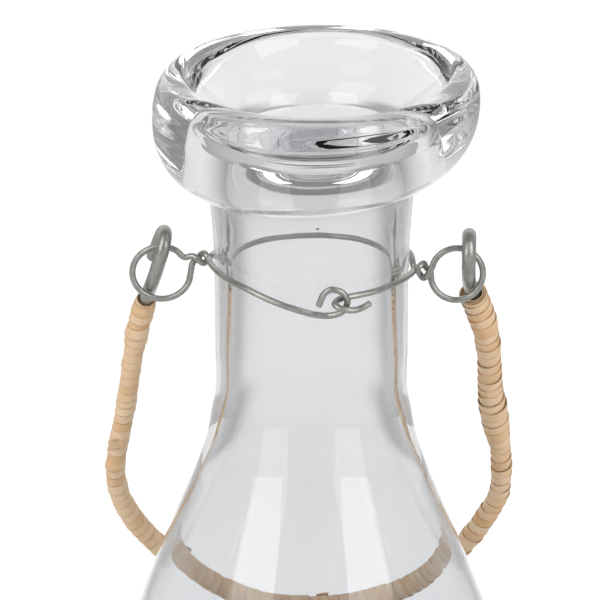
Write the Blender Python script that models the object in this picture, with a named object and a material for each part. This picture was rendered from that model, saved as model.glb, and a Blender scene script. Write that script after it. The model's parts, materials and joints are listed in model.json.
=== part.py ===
"""A large clear glass bottle with a wire collar and a swinging bail handle wrapped in bamboo strip.

The bottle stands on its base ring at the origin, +Z up. Its front, where the collar's clasp is,
faces -Y, and the handle hangs behind it on the shoulder.
"""

import math

import bmesh
import bpy
import numpy as np

MM = 0.001

# Clearances between pieces that touch
REST_GAP = 0.3 * MM
COLLAR_GAP = 0.5 * MM
WRAP_GAP = 0.4 * MM

# Glass bottle: radii and heights of the outside
BODY_RADIUS = 86.0 * MM
FOOT_TAPER = 5.0 * MM
HEEL_RADIUS = 24.0 * MM
STANDING_RING_WIDTH = 8.0 * MM
PUSH_UP_HEIGHT = 9.0 * MM
BODY_WIDEST_HEIGHT = 86.0 * MM
NECK_FOOT_HEIGHT = 255.0 * MM
NECK_RADIUS = 32.1 * MM
NECK_FLARE = 2.2 * MM
COLLAR_RISE = 45.0 * MM
FOOT_RADIUS = BODY_RADIUS - FOOT_TAPER
STANDING_RING_RADIUS = FOOT_RADIUS - HEEL_RADIUS
COLLAR_HEIGHT = NECK_FOOT_HEIGHT + COLLAR_RISE

# Glass bottle: walls
BASE_WALL = 6.0 * MM
BODY_WALL = 3.0 * MM
SHOULDER_WALL = 2.6 * MM
NECK_WALL = 5.6 * MM

# Lip: a heavy solid ring that leans a little, with its top and underside measured from the collar's level
LIP_RADIUS = 53.4 * MM
LIP_TOP = 66.6 * MM
LIP_DEPTH = 38.0 * MM
LIP_WALL = 10.0 * MM
THROAT_DEPTH = 18.5 * MM
LIP_SIDE_SHIFT = 2.2 * MM
LIP_UNDERSIDE_TILT = math.radians(2.9)
LIP_TOP_TILT = math.radians(0.5)
LIP_UNDERSIDE = LIP_TOP - LIP_DEPTH

# Heel from the standing ring to the foot: angles on its quarter round
HEEL_ANGLES = (0.0, 22.0, 45.0, 68.0, 90.0)
# Side of the body from the foot to its widest: shares of that rise
SIDE_SHARES = (0.33, 0.66)
# Shoulder from the neck down: share of the step outwards, share of the drop
SHOULDER_SHARES = (
    (0.000, 0.000),
    (0.022, 0.040),
    (0.057, 0.102),
    (0.121, 0.168),
    (0.201, 0.232),
    (0.283, 0.298),
    (0.384, 0.378),
    (0.480, 0.460),
    (0.590, 0.562),
    (0.722, 0.690),
    (0.825, 0.785),
    (0.910, 0.870),
    (0.975, 0.945),
    (1.000, 1.000),
)
# Neck from its foot to the lip: share of the flare, share of the rise
NECK_SHARES = ((0.00, 0.20), (0.00, 0.50), (0.15, 0.72), (0.60, 0.90))
# Outside of the lip from its root: share of the overhang, share of the lip's depth
LIP_OUTSIDE_SHARES = (
    (0.010, 0.020),
    (0.120, 0.030),
    (0.420, 0.092),
    (0.660, 0.190),
    (0.840, 0.315),
    (0.960, 0.470),
    (1.000, 0.620),
    (0.990, 0.770),
    (0.915, 0.905),
    (0.790, 0.978),
    (0.640, 1.000),
)
# Inside of the mouth from its brim down: share of the flare from throat to mouth, share of its depth
MOUTH_SHARES = (
    (1.040, 0.985),
    (0.920, 0.900),
    (0.790, 0.740),
    (0.620, 0.560),
    (0.430, 0.370),
    (0.250, 0.200),
    (0.100, 0.060),
    (0.015, -0.100),
)
# Under the base and over the inside floor: share of the radius, share of the push-up's height
UNDERSIDE_SHARES = ((0.00, 1.00), (0.55, 0.72), (0.90, 0.20), (1.00, 0.00))
FLOOR_SHARES = ((0.93, 0.55), (0.72, -0.35), (0.40, -0.10), (0.00, 0.00))

# Neck wire: one galvanised wire, twisted into an eye on each side of the neck and hooked to itself in front
NECK_WIRE_RADIUS = 1.05 * MM
LEFT_TWIST_LENGTH = 5.2 * MM
RIGHT_TWIST_LENGTH = 4.3 * MM
BACK_ARC_BEARINGS = (-100.0, -260.0)
BACK_ARC_DROP = 1.2 * MM
COLLAR_RADIUS = NECK_RADIUS + COLLAR_GAP + NECK_WIRE_RADIUS

# Eyes: stem from the twist, half width and height, how far the ends part to the front and back, height of
# the crook's seat over the hinge, and the angles at which the ring's lower and upper ends leave for the twist
LEFT_EYE_STEM = 1.1 * MM
LEFT_EYE_HALF_WIDTH = 9.6 * MM
LEFT_EYE_HALF_HEIGHT = 9.3 * MM
LEFT_EYE_SPREAD = 0.5 * MM
LEFT_EYE_SEAT = 1.5 * MM
LEFT_EYE_ENDS = (math.radians(-2.0), math.radians(38.0))
RIGHT_EYE_STEM = 1.25 * MM
RIGHT_EYE_HALF_WIDTH = 8.7 * MM
RIGHT_EYE_HALF_HEIGHT = 9.3 * MM
RIGHT_EYE_SPREAD = 1.3 * MM
RIGHT_EYE_SEAT = 0.0 * MM
RIGHT_EYE_ENDS = (math.radians(2.0), math.radians(14.0))

# Twists from the collar outwards: share of the length, then lift of their axis and radius round it as
# shares of the wire's radius, with the half turns between
LEFT_TWIST_SHARES = (
    (0.00, 1.33, 0.05, 1.43),
    (0.16, 1.33, 0.28, 1.52),
    (0.32, 1.33, 0.50, 1.62),
    (0.50, 1.29, 0.76, 1.48),
    (0.67, 1.24, 1.00, 1.40),
    (0.85, 1.14, 1.18, 1.42),
    (1.00, 1.05, 1.32, 1.45),
)
RIGHT_TWIST_SHARES = (
    (0.09, -2.19, 0.06, 1.62),
    (0.44, -2.57, 0.26, 2.19),
    (0.76, -2.90, 0.50, 2.48),
    (1.00, -3.33, 0.80, 1.62),
)

# The front strands from their twists to their hooks' tips: bearing from the front in degrees, then height
# and stand-off from the neck as shares of the wire's radius
LEFT_FRONT_SHARES = (
    (-85.0, 2.10, 0.20),
    (-75.0, 2.10, 0.10),
    (-64.0, 2.00, 0.00),
    (-50.0, 1.50, 0.00),
    (-36.0, 0.65, 0.00),
    (-22.0, -1.35, 0.00),
    (-9.0, -3.25, 0.00),
    (2.0, -4.85, 0.00),
    (9.0, -5.15, 0.50),
    (13.5, -4.40, 1.60),
    (16.6, -3.15, 2.30),
    (18.2, -1.50, 2.50),
    (18.6, 0.20, 2.55),
    (17.2, 2.00, 2.50),
    (13.8, 3.60, 2.10),
    (10.0, 3.90, 1.60),
    (6.8, 2.50, 1.20),
    (5.0, 0.20, 0.80),
    (3.8, -1.90, 0.50),
)
RIGHT_FRONT_SHARES = (
    (84.0, -1.60, 0.10),
    (75.0, -0.80, 0.00),
    (65.0, -0.10, 0.00),
    (52.0, 0.30, 0.00),
    (38.0, 0.20, 0.00),
    (27.0, 0.30, 0.00),
    (21.0, 0.20, 0.00),
    (16.8, 0.00, 0.10),
    (13.6, -0.30, 0.90),
    (12.0, -0.70, 2.40),
    (13.4, -1.30, 4.00),
    (17.0, -1.90, 4.95),
    (21.5, -2.30, 4.90),
    (26.0, -2.20, 4.20),
    (30.5, -1.50, 3.60),
)

# Handle: a stiff wire with a crook at each end that hangs on the eye's upper side
HANDLE_WIRE_RADIUS = 2.3 * MM
HINGE_RISE = 4.0 * MM
HANDLE_DROP = 181.5 * MM
HANDLE_SIDE_ROOM = 8.6 * MM
CROOK_SLACK = 2.0 * MM
LEFT_CROOK_INSET = -0.65 * MM
RIGHT_CROOK_INSET = -4.0 * MM
LEFT_CROOK_RISE = 4.9 * MM
RIGHT_CROOK_RISE = 2.9 * MM
LEFT_CROOK_TIP = 9.0 * MM
RIGHT_CROOK_TIP = 7.7 * MM
LEFT_CROOK_YAW = 0.0
RIGHT_CROOK_YAW = math.radians(2.0)
LEFT_CROOK_ROLL = math.radians(16.0)
RIGHT_CROOK_ROLL = 0.0
CROOK_ANGLES = (0.0, 30.0, 60.0, 90.0, 120.0, 150.0, 180.0)
# Shank from the crook down to the wrap: share of the way, of the crook's offset, of the step outwards
LEFT_SHANK_SHARES = ((0.22, 0.97, 0.24), (0.48, 0.72, 0.52), (0.74, 0.32, 0.77))
RIGHT_SHANK_SHARES = ((0.22, 0.97, 0.04), (0.48, 0.72, 0.18), (0.74, 0.32, 0.48))
# The bail from under the left crook round to the right one: share of the half width, share of the drop
BAIL_SHARES = (
    (-0.814, 0.132),
    (-0.858, 0.209),
    (-0.889, 0.287),
    (-0.918, 0.375),
    (-0.951, 0.463),
    (-0.985, 0.540),
    (-1.000, 0.606),
    (-0.982, 0.672),
    (-0.924, 0.738),
    (-0.815, 0.810),
    (-0.684, 0.871),
    (-0.537, 0.926),
    (-0.382, 0.967),
    (-0.191, 0.992),
    (0.000, 1.000),
    (0.176, 0.994),
    (0.338, 0.975),
    (0.485, 0.948),
    (0.618, 0.909),
    (0.735, 0.854),
    (0.824, 0.799),
    (0.896, 0.738),
    (0.959, 0.672),
    (0.969, 0.606),
    (0.959, 0.540),
    (0.928, 0.463),
    (0.897, 0.375),
    (0.883, 0.287),
    (0.860, 0.209),
    (0.795, 0.118),
)

# Places of the eyes' centres and of the crooks, so that each crook's seat on its eye lies at the hinge
LEFT_EYE_OUT = COLLAR_RADIUS + LEFT_TWIST_LENGTH + LEFT_EYE_STEM + LEFT_EYE_HALF_WIDTH
RIGHT_EYE_OUT = COLLAR_RADIUS + RIGHT_TWIST_LENGTH + RIGHT_EYE_STEM + RIGHT_EYE_HALF_WIDTH
LEFT_CROOK_OUT = LEFT_EYE_OUT - LEFT_CROOK_INSET
RIGHT_CROOK_OUT = RIGHT_EYE_OUT - RIGHT_CROOK_INSET
LEFT_SEAT_SHARE = math.sqrt(1 - (LEFT_CROOK_INSET / LEFT_EYE_HALF_WIDTH) ** 2)
RIGHT_SEAT_SHARE = math.sqrt(1 - (RIGHT_CROOK_INSET / RIGHT_EYE_HALF_WIDTH) ** 2)
LEFT_EYE_RISE = HINGE_RISE + LEFT_EYE_SEAT - LEFT_EYE_HALF_HEIGHT * LEFT_SEAT_SHARE
RIGHT_EYE_RISE = HINGE_RISE + RIGHT_EYE_SEAT - RIGHT_EYE_HALF_HEIGHT * RIGHT_SEAT_SHARE

# Bamboo wrap: strips wound side by side on the handle wire, one after the other
WRAP_STRIPS = 6
WRAP_PITCH = 3.9 * MM
STRIP_SPACING = 1.2 * MM
STRIP_THICKNESS = 1.1 * MM
STRIP_WIDTH = WRAP_PITCH - STRIP_SPACING
STRIP_INNER_RADIUS = HANDLE_WIRE_RADIUS + WRAP_GAP
WRAP_RADIUS = STRIP_INNER_RADIUS + STRIP_THICKNESS
HANDLE_HALF_WIDTH = LIP_RADIUS + LIP_SIDE_SHIFT + WRAP_RADIUS + HANDLE_SIDE_ROOM

# Facets and points
BOTTLE_SIDES = 48
NECK_WIRE_RESOLUTION = 2
HANDLE_WIRE_RESOLUTION = 3
LINE_STEPS = 2
EYE_POINTS = 17
BACK_ARC_POINTS = 13
CURL_POINTS = 8
WIRE_GAP_POINTS = 4
SHARP_ANGLE = math.radians(45.0)
LEAST_SWING = math.radians(5.0)
MOST_SWING = math.radians(80.0)
SWING_TRIALS = 1500
OUTLINE_STEPS = 6

# Colours
GLASS_COLOUR = (0.93, 0.94, 0.94, 1.0)
WIRE_COLOUR = (0.33, 0.34, 0.31, 1.0)
BAMBOO_COLOUR = (0.74, 0.55, 0.36, 1.0)


def clear_scene():
    for old in list(bpy.data.objects):
        bpy.data.objects.remove(old)


def plain_material(name, colour, roughness, metallic, transmission=0.0):
    material = bpy.data.materials.new(name)
    material.use_nodes = True
    shader = material.node_tree.nodes["Principled BSDF"]
    shader.inputs["Base Color"].default_value = colour
    shader.inputs["Roughness"].default_value = roughness
    shader.inputs["Metallic"].default_value = metallic
    shader.inputs["Transmission Weight"].default_value = transmission
    return material


def smooth_line(points, steps):
    """A smooth curve through the points, each stretch cut into the same number of steps.

    Each stretch is a cubic. Its direction at a point is the mean of the directions to the two
    neighbours, in which the nearer neighbour counts more, so uneven points make no loops.
    """
    points = np.array(points, float)
    chords = np.diff(points, axis=0)
    lengths = np.linalg.norm(chords, axis=1)[:, None]
    ways = chords / lengths
    inner = (ways[:-1] * lengths[1:] + ways[1:] * lengths[:-1]) / (lengths[1:] + lengths[:-1])
    slopes = np.vstack([ways[:1], inner, ways[-1:]])[:, None]
    t = np.linspace(0, 1, steps, endpoint=False)[None, :, None]
    start, end = points[:-1, None], points[1:, None]
    line = start + (end - start) * t * t * (3 - 2 * t)
    line = line + lengths[:, None] * t * (1 - t) * (slopes[:-1] * (1 - t) - slopes[1:] * t)
    return np.vstack([line.reshape(-1, points.shape[1]), points[-1:]])


def distances_along(points):
    steps = np.linalg.norm(np.diff(points, axis=0), axis=1)
    return np.concatenate([[0.0], np.cumsum(steps)])


def points_at(points, wanted):
    """Points of the line at the wanted distances along it."""
    along = distances_along(points)
    return np.stack([np.interp(wanted, along, column) for column in points.T], -1)


def unit(vectors):
    return vectors / np.linalg.norm(vectors, axis=-1, keepdims=True)


def fade(value, start, end):
    """0 before start, 1 after end, and a smooth S between them."""
    share = np.clip((value - start) / (end - start), 0, 1)
    return share * share * (3 - 2 * share)


def new_object(name, data, material, parent=None):
    thing = bpy.data.objects.new(name, data)
    bpy.context.scene.collection.objects.link(thing)
    data.materials.append(material)
    thing.parent = parent
    return thing


def new_empty(name, location, parent=None):
    empty = bpy.data.objects.new(name, None)
    bpy.context.scene.collection.objects.link(empty)
    empty.location = location
    empty.parent = parent
    return empty


def new_wire(name, points, radius, resolution, material, parent):
    """A round wire along the points, with closed ends."""
    curve = bpy.data.curves.new(name, "CURVE")
    curve.dimensions = "3D"
    curve.bevel_depth = radius
    curve.bevel_resolution = resolution
    curve.use_fill_caps = True
    spline = curve.splines.new("POLY")
    spline.points.add(len(points) - 1)
    for place, point in zip(spline.points, points):
        place.co = (*point, 1.0)
    spline.use_smooth = True
    return new_object(name, curve, material, parent)


def mesh_of(name, shape):
    """A smooth-shaded mesh of the bmesh, its faces pointing outwards."""
    bmesh.ops.recalc_face_normals(shape, faces=shape.faces)
    mesh = bpy.data.meshes.new(name)
    shape.to_mesh(mesh)
    shape.free()
    mesh.shade_smooth()
    mesh.set_sharp_from_angle(angle=SHARP_ANGLE)
    return mesh


def body_outside():
    """Radius and height of the outside from the standing ring up to the lip's root."""
    heel = [
        (STANDING_RING_RADIUS + HEEL_RADIUS * math.sin(angle), HEEL_RADIUS * (1 - math.cos(angle)))
        for angle in np.radians(HEEL_ANGLES)
    ]
    side_rise = BODY_WIDEST_HEIGHT - HEEL_RADIUS
    side = [
        (FOOT_RADIUS + FOOT_TAPER * math.sin(share * math.pi / 2), HEEL_RADIUS + side_rise * share)
        for share in SIDE_SHARES
    ]
    step = BODY_RADIUS - NECK_RADIUS
    drop = NECK_FOOT_HEIGHT - BODY_WIDEST_HEIGHT
    shoulder = [
        (NECK_RADIUS + step * out, NECK_FOOT_HEIGHT - drop * down) for out, down in reversed(SHOULDER_SHARES)
    ]
    neck_rise = COLLAR_HEIGHT + LIP_UNDERSIDE - NECK_FOOT_HEIGHT
    neck = [(NECK_RADIUS + NECK_FLARE * out, NECK_FOOT_HEIGHT + neck_rise * up) for out, up in NECK_SHARES]
    return np.array(heel + side + shoulder + neck)


def lip_outside():
    root_radius = NECK_RADIUS + NECK_FLARE
    overhang = LIP_RADIUS - root_radius
    root_height = COLLAR_HEIGHT + LIP_UNDERSIDE
    return [(root_radius + overhang * out, root_height + LIP_DEPTH * up) for out, up in LIP_OUTSIDE_SHARES]


def wall_at(height):
    """Thickness of the glass: thin at the shoulder, thicker up the neck and down the body."""
    towards_neck = fade(height, NECK_FOOT_HEIGHT - NECK_RADIUS, NECK_FOOT_HEIGHT)
    towards_base = 1 - fade(height, BODY_WIDEST_HEIGHT, BODY_WIDEST_HEIGHT + BODY_RADIUS)
    thickening = (NECK_WALL - SHOULDER_WALL) * towards_neck + (BODY_WALL - SHOULDER_WALL) * towards_base
    return SHOULDER_WALL + thickening


def bottle_profile():
    """The whole section: under the base, up the outside, over the lip and down the inside to the floor."""
    ring_inner = STANDING_RING_RADIUS - STANDING_RING_WIDTH
    underside = [(ring_inner * out, PUSH_UP_HEIGHT * up) for out, up in UNDERSIDE_SHARES]
    outside = body_outside()

    slope = np.gradient(outside, axis=0)
    inwards = unit(np.stack([-slope[:, 1], slope[:, 0]], -1))
    inside = outside + inwards * wall_at(outside[:, 1])[:, None]
    floor_height = PUSH_UP_HEIGHT + BASE_WALL
    floor_rim = floor_height + PUSH_UP_HEIGHT / 2
    throat_height = COLLAR_HEIGHT + LIP_TOP - THROAT_DEPTH
    neck_top = throat_height - THROAT_DEPTH
    kept = (inside[:, 1] > floor_rim) & (inside[:, 1] < neck_top)
    inside = inside[kept][::-1]

    throat_radius = NECK_RADIUS - NECK_WALL
    flare = LIP_RADIUS - LIP_WALL - throat_radius
    mouth = [(throat_radius + flare * out, throat_height + THROAT_DEPTH * up) for out, up in MOUTH_SHARES]
    floor = [(inside[-1, 0] * out, floor_height + PUSH_UP_HEIGHT * up) for out, up in FLOOR_SHARES]
    return np.vstack([underside, outside, lip_outside(), mouth, inside, floor])


def lean_of_lip(radius, height, turn):
    """Sideways shift and lift that make the lip lean; nothing at the collar or below it moves."""
    above = height - COLLAR_HEIGHT
    up_lip = np.clip((above - LIP_UNDERSIDE) / LIP_DEPTH, 0, 1)
    tilt = LIP_UNDERSIDE_TILT + (LIP_TOP_TILT - LIP_UNDERSIDE_TILT) * up_lip
    lift = fade(above, LIP_UNDERSIDE / 2, LIP_UNDERSIDE) * np.tan(tilt) * radius * np.cos(turn)
    return LIP_SIDE_SHIFT * up_lip, lift


def make_bottle(material):
    profile = bottle_profile()
    turn = np.linspace(0, 2 * math.pi, BOTTLE_SIDES, endpoint=False)
    radius = profile[1:-1, 0, None]
    height = profile[1:-1, 1, None]
    shift, lift = lean_of_lip(radius, height, turn)
    rings = np.stack([radius * np.cos(turn) + shift, radius * np.sin(turn), height + lift], -1)

    shape = bmesh.new()
    rows = [[shape.verts.new(point) for point in ring] for ring in rings]
    under = shape.verts.new((0.0, 0.0, profile[0, 1]))
    floor = shape.verts.new((0.0, 0.0, profile[-1, 1]))
    for i in range(BOTTLE_SIDES):
        j = (i + 1) % BOTTLE_SIDES
        shape.faces.new((under, rows[0][j], rows[0][i]))
        shape.faces.new((floor, rows[-1][i], rows[-1][j]))
        for lower, upper in zip(rows, rows[1:]):
            shape.faces.new((lower[i], lower[j], upper[j], upper[i]))
    return new_object("glass_bottle", mesh_of("glass_bottle", shape), material)


def beside_neck(bearing, height, stand_off):
    """A point of the collar: bearing in degrees from the front to the right, stand-off past its close fit."""
    turn = math.radians(bearing)
    radius = COLLAR_RADIUS + stand_off
    return (radius * math.sin(turn), -radius * math.cos(turn), height)


def front_strand(table):
    """The strand from its twist to its hook's tip."""
    size = NECK_WIRE_RADIUS
    return np.array([beside_neck(bearing, up * size, off * size) for bearing, up, off in table])


def twist_strands(side, length, shares):
    """Both strands of a twist, from the collar outwards, as they turn round its axis half a turn apart.

    The front strand goes over the top to the back, and the back strand underneath to the front. side is
    -1 on the left and +1 on the right.
    """
    out, lift, half_turns, radius = np.array(shares).T
    line_x = side * (COLLAR_RADIUS + length * out)
    across = -NECK_WIRE_RADIUS * radius * np.cos(math.pi * half_turns)
    up = NECK_WIRE_RADIUS * radius * np.sin(math.pi * half_turns)
    front = np.stack([line_x, across, NECK_WIRE_RADIUS * lift + up], -1)
    back = np.stack([line_x, -across, NECK_WIRE_RADIUS * lift - up], -1)
    return front, back


def eye_ring(side, out, rise, half_width, half_height, spread, ends):
    """An eye from its lower end round to its upper one: an ellipse in the plane of the neck's axis.

    The ends part to the front and the back, as the cube of the way from the ring's middle.
    """
    lower, upper = ends
    angle = np.linspace(lower, upper - 2 * math.pi, EYE_POINTS)
    share = np.linspace(-1, 1, EYE_POINTS)
    ring_x = side * (out - half_width * np.cos(angle))
    return np.stack([ring_x, -spread * share**3, rise + half_height * np.sin(angle)], -1)


def left_loop():
    """The left twist and eye: the front strand outwards, round the eye and the back strand inwards again."""
    front, back = twist_strands(-1, LEFT_TWIST_LENGTH, LEFT_TWIST_SHARES)
    ring = eye_ring(
        -1,
        LEFT_EYE_OUT,
        LEFT_EYE_RISE,
        LEFT_EYE_HALF_WIDTH,
        LEFT_EYE_HALF_HEIGHT,
        LEFT_EYE_SPREAD,
        LEFT_EYE_ENDS,
    )
    return np.vstack([front, ring, back[::-1]])


def right_loop():
    """The right twist and eye: the front strand outwards, round the eye and the back strand inwards again."""
    front, back = twist_strands(1, RIGHT_TWIST_LENGTH, RIGHT_TWIST_SHARES)
    ring = eye_ring(
        1,
        RIGHT_EYE_OUT,
        RIGHT_EYE_RISE,
        RIGHT_EYE_HALF_WIDTH,
        RIGHT_EYE_HALF_HEIGHT,
        RIGHT_EYE_SPREAD,
        RIGHT_EYE_ENDS,
    )
    return np.vstack([front, ring, back[::-1]])


def least_gap_to_itself(points, thickness):
    """Least distance between two stretches of a wire, both measured on points, less its thickness."""
    length = distances_along(points)[-1]
    step = thickness / WIRE_GAP_POINTS
    dense = points_at(points, np.arange(0, length, step))
    apart = 2 * WIRE_GAP_POINTS + 1
    nearest = [np.linalg.norm(dense[i + apart :] - dense[i], axis=1).min() for i in range(len(dense) - apart)]
    return min(nearest) - thickness


def make_neck_wire(material, parent):
    back_arc = [
        beside_neck(bearing, BACK_ARC_DROP * math.cos(math.radians(bearing)), 0)
        for bearing in np.linspace(*BACK_ARC_BEARINGS, BACK_ARC_POINTS)
    ]
    left_front = front_strand(LEFT_FRONT_SHARES)[::-1]
    right_front = front_strand(RIGHT_FRONT_SHARES)
    route = np.vstack([left_front, left_loop(), back_arc, right_loop()[::-1], right_front])
    line = smooth_line(route, LINE_STEPS)
    gap = least_gap_to_itself(line, 2 * NECK_WIRE_RADIUS)
    print("neck_wire least gap to itself, mm:", round(gap / MM, 2))
    return new_wire("neck_wire", line, NECK_WIRE_RADIUS, NECK_WIRE_RESOLUTION, material, parent)


def crook_line(side, crook_out, rise, tip, yaw, roll, shank, end):
    """A crook from its free tip over its top and down its shank to the bail's end, hanging straight down.

    The crook lies across its hinge: its top is half an ellipse round the hinge's line. Its yaw turns it
    a little outwards and its roll leans it, so that its shank runs straight into the bail.
    """
    offset = NECK_WIRE_RADIUS + CROOK_SLACK + HANDLE_WIRE_RADIUS
    top = rise + HANDLE_WIRE_RADIUS
    outline = [(offset, -tip), (offset, -tip / 2)]
    outline += [(offset * math.cos(angle), top * math.sin(angle)) for angle in np.radians(CROOK_ANGLES)]
    turn_out = math.tan(yaw)
    lean = math.tan(roll)
    points = [(side * (crook_out + across * turn_out - up * lean), across, up) for across, up in outline]
    start = points[-1]
    for down, across, out in shank:
        points.append((start[0] + (end[0] - start[0]) * out, start[1] * across, end[2] * down))
    return points


def left_crook(end):
    return crook_line(
        -1,
        LEFT_CROOK_OUT,
        LEFT_CROOK_RISE,
        LEFT_CROOK_TIP,
        LEFT_CROOK_YAW,
        LEFT_CROOK_ROLL,
        LEFT_SHANK_SHARES,
        end,
    )


def right_crook(end):
    return crook_line(
        1,
        RIGHT_CROOK_OUT,
        RIGHT_CROOK_RISE,
        RIGHT_CROOK_TIP,
        RIGHT_CROOK_YAW,
        RIGHT_CROOK_ROLL,
        RIGHT_SHANK_SHARES,
        end,
    )


def handle_line():
    """The handle wire, hinge line on X and bail hanging down -Z, and the lengths of its two bare ends."""
    bail = [(out * HANDLE_HALF_WIDTH, 0.0, -down * HANDLE_DROP) for out, down in BAIL_SHARES]
    left = left_crook(bail[0])
    right = right_crook(bail[-1])
    line = smooth_line(left + bail + right[::-1], LINE_STEPS)
    along = distances_along(line)
    return line, along[len(left) * LINE_STEPS], along[-1] - along[-1 - len(right) * LINE_STEPS]


def rest_angle(line):
    """The least swing back from hanging straight at which the wrapped bail clears the bottle."""
    outline = smooth_line(body_outside(), OUTLINE_STEPS)
    for angle in np.linspace(LEAST_SWING, MOST_SWING, SWING_TRIALS):
        back = line[:, 1] * math.cos(angle) - line[:, 2] * math.sin(angle)
        height = line[:, 1] * math.sin(angle) + line[:, 2] * math.cos(angle) + COLLAR_HEIGHT + HINGE_RISE
        radius = np.hypot(line[:, 0], back)
        away = np.hypot(radius[:, None] - outline[:, 0], height[:, None] - outline[:, 1])
        clear = radius > np.interp(height, outline[:, 1], outline[:, 0])
        if clear.all() and away.min() > WRAP_RADIUS + REST_GAP:
            return angle
    return MOST_SWING


def strip_mesh(name, core, start, turns):
    """A flat strip wound round the core: four corners carried along a helix, closed at both ends."""
    count = round(turns * CURL_POINTS) + 1
    turned = np.linspace(0, 2 * math.pi * turns, count)
    along = start + WRAP_PITCH * turned / (2 * math.pi)
    step = WRAP_PITCH / CURL_POINTS
    centre = points_at(core, along)
    forward = unit(points_at(core, along + step) - points_at(core, along - step))
    across = unit(np.array([0.0, 1.0, 0.0]) - forward * forward[:, 1:2])
    beside = np.cross(forward, across)
    outward = across * np.cos(turned)[:, None] + beside * np.sin(turned)[:, None]
    inner = centre + STRIP_INNER_RADIUS * outward
    outer = centre + WRAP_RADIUS * outward
    edge = forward * STRIP_WIDTH / 2
    corners = np.stack([inner - edge, inner + edge, outer + edge, outer - edge], 1)

    later = corners[CURL_POINTS:, [0, 3]]
    earlier = corners[:-CURL_POINTS, [1, 2]]
    print(name, "least gap to itself, mm:", round(np.linalg.norm(later - earlier, axis=2).min() / MM, 2))

    shape = bmesh.new()
    rows = [[shape.verts.new(point) for point in ring] for ring in corners]
    for one, following in zip(rows, rows[1:]):
        for i in range(len(one)):
            j = (i + 1) % len(one)
            shape.faces.new((one[i], one[j], following[j], following[i]))
    shape.faces.new(rows[0][::-1])
    shape.faces.new(rows[-1])
    return mesh_of(name, shape)


def make_handle(wire_material, bamboo_material, parent):
    line, left_bare, right_bare = handle_line()
    swing = rest_angle(line)
    parent.rotation_euler = (swing, 0.0, 0.0)
    new_wire("handle_wire", line, HANDLE_WIRE_RADIUS, HANDLE_WIRE_RESOLUTION, wire_material, parent)

    wrapped = distances_along(line)[-1] - left_bare - right_bare
    share = wrapped / WRAP_STRIPS
    turns = math.floor((share / WRAP_PITCH - 1) * CURL_POINTS) / CURL_POINTS
    for number in range(WRAP_STRIPS):
        name = f"wrap_strip_{number + 1}"
        start = left_bare + WRAP_PITCH / 2 + number * share
        new_object(name, strip_mesh(name, line, start, turns), bamboo_material, parent)
    print("handle rests", round(math.degrees(swing), 2), "degrees back;", turns, "turns a strip")


def main():
    clear_scene()
    glass = plain_material("clear_glass", GLASS_COLOUR, 0.02, 0.0, transmission=1.0)
    wire = plain_material("galvanised_wire", WIRE_COLOUR, 0.45, 0.9)
    bamboo = plain_material("bamboo_strip", BAMBOO_COLOUR, 0.6, 0.0)
    make_bottle(glass)
    collar_axis = new_empty("collar_axis", (0.0, 0.0, COLLAR_HEIGHT))
    make_neck_wire(wire, collar_axis)
    handle_axis = new_empty("handle_axis", (0.0, 0.0, HINGE_RISE), collar_axis)
    make_handle(wire, bamboo, handle_axis)


main()
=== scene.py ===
"""The looks of a large clear glass bottle with a wire collar and a bail handle wrapped in bamboo strip.

Each piece is a surface worked out on a grid and put where the frame's own piece lies: the blown bottle,
the collar's twisted wire, the handle's stiff wire and the six strips that are wound on it. Panel and
operators are in the 3D view's sidebar, under Bottle.
"""

import json
import math
from types import SimpleNamespace

import bpy
import numpy as np
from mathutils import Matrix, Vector


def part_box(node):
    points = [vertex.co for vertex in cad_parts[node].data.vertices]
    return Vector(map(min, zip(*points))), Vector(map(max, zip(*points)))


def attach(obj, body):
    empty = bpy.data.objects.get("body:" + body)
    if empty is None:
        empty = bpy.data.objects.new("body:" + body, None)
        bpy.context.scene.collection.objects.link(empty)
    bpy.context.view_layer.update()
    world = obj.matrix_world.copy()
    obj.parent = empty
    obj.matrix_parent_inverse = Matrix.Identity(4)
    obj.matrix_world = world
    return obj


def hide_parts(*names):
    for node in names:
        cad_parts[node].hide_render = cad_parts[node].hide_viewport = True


bl_info = {
    "name": "Bottle with wrapped bail handle",
    "version": (1, 0, 0),
    "blender": (4, 5, 0),
    "location": "3D View > Sidebar > Bottle",
    "description": "Blows the bottle, bends its wires and winds its bamboo strips",
    "category": "Object",
}

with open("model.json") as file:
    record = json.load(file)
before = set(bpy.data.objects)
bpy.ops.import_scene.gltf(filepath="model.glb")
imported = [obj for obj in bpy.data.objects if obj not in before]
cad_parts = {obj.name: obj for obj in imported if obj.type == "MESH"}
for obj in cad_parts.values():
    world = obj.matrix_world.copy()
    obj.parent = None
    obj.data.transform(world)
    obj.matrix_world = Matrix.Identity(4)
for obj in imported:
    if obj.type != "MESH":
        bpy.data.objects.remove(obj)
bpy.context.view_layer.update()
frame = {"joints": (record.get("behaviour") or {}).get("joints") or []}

MM = 0.001

# The frame's own sizes, read from its pieces
BOTTLE_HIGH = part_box("glass_bottle")[1]
BODY_RADIUS = BOTTLE_HIGH.x
LIP_TOP_HEIGHT = BOTTLE_HIGH.z
HINGE_JOINT = next(joint for joint in frame["joints"] if joint["name"] == "handle_swing")
COLLAR_JOINT = next(joint for joint in frame["joints"] if joint["name"] == "collar_turn")
COLLAR_HEIGHT = COLLAR_JOINT["pos_m"][2]
HINGE_HEIGHT = HINGE_JOINT["pos_m"][2]

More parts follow.
